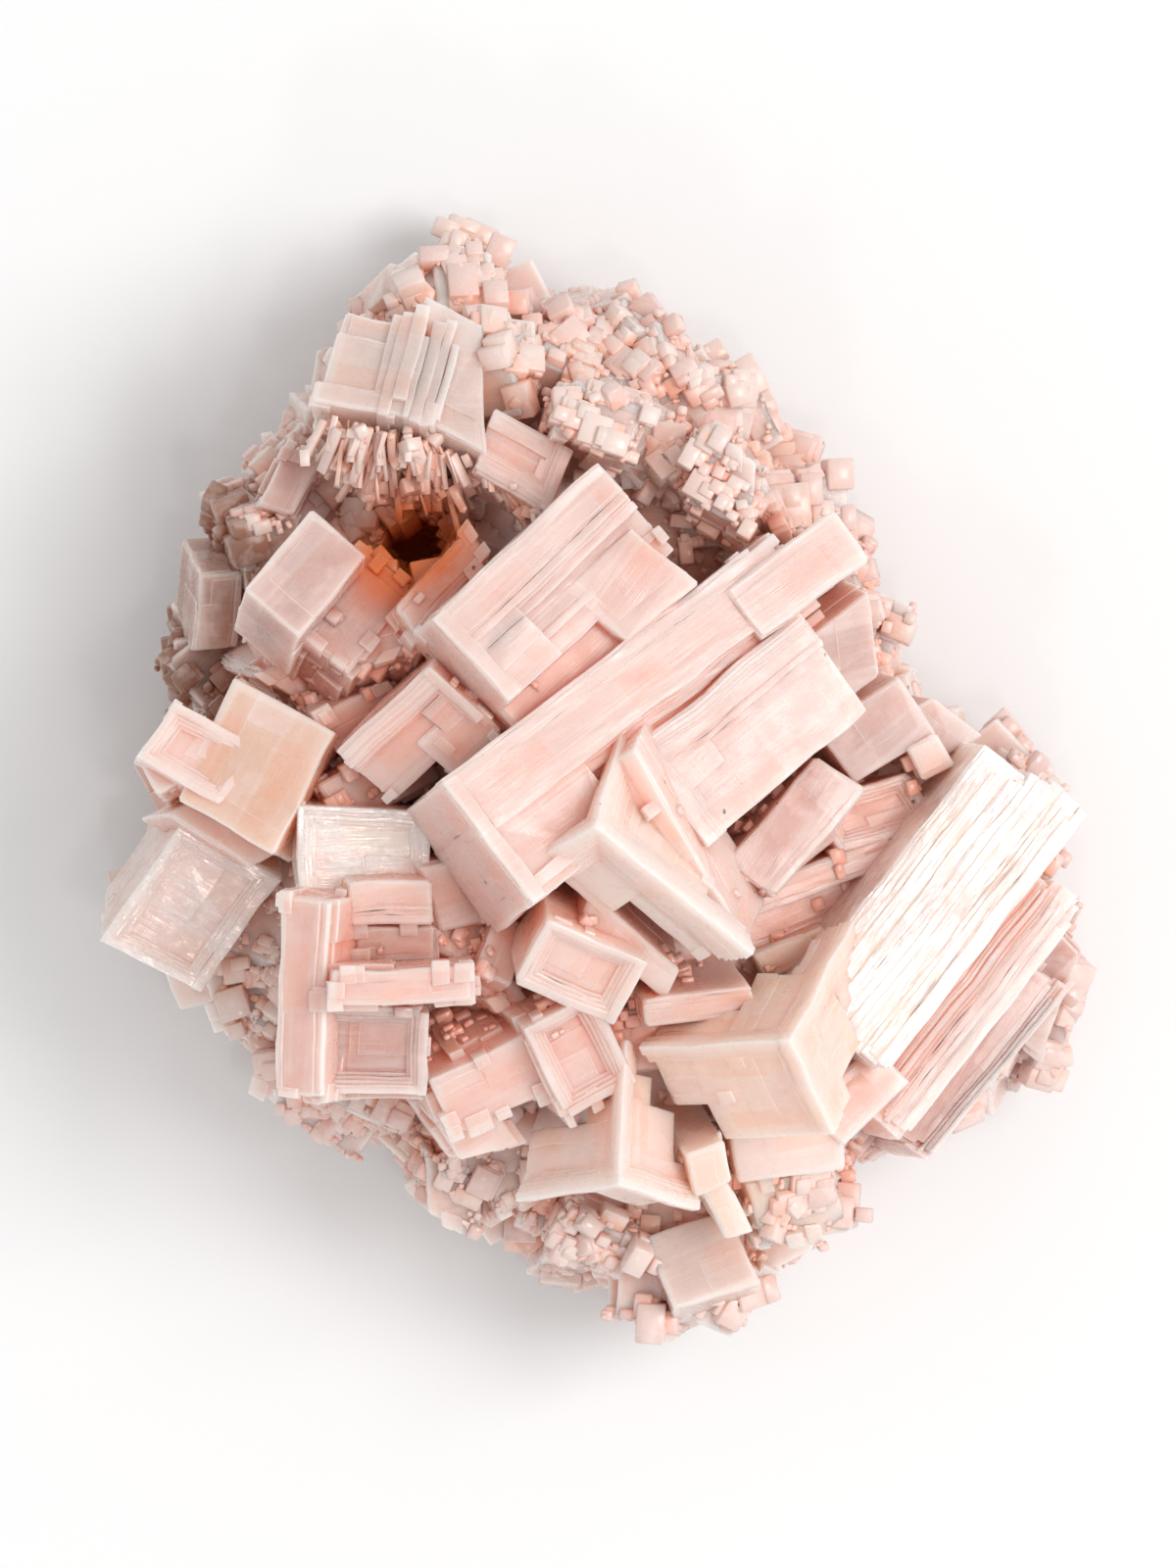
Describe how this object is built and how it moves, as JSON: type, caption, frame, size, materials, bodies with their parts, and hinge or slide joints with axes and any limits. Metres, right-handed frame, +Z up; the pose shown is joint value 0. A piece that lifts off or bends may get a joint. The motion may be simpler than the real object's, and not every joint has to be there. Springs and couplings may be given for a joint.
{
  "type": "halite crystal cluster",
  "caption": "Cluster of pink halite grown together: bars, hopper cubes and corner crystals on a lumpy salt crust, sawn flat underneath to stand on a shelf.",
  "frame": {"origin": "centre of the bounding box at the sawn foot that the cluster stands on", "axes": "+Z up, away from the sawn foot; +Y along the cluster's longest side, towards the sugary crust; +X along its width, towards the great striped plate"},
  "size_m": [0.1017, 0.114, 0.0602],
  "materials": {
    "halite_cluster": "satin"
  },
  "bodies": {
    "root": {"halite_cluster": "halite_cluster"}
  },
  "joints": []
}
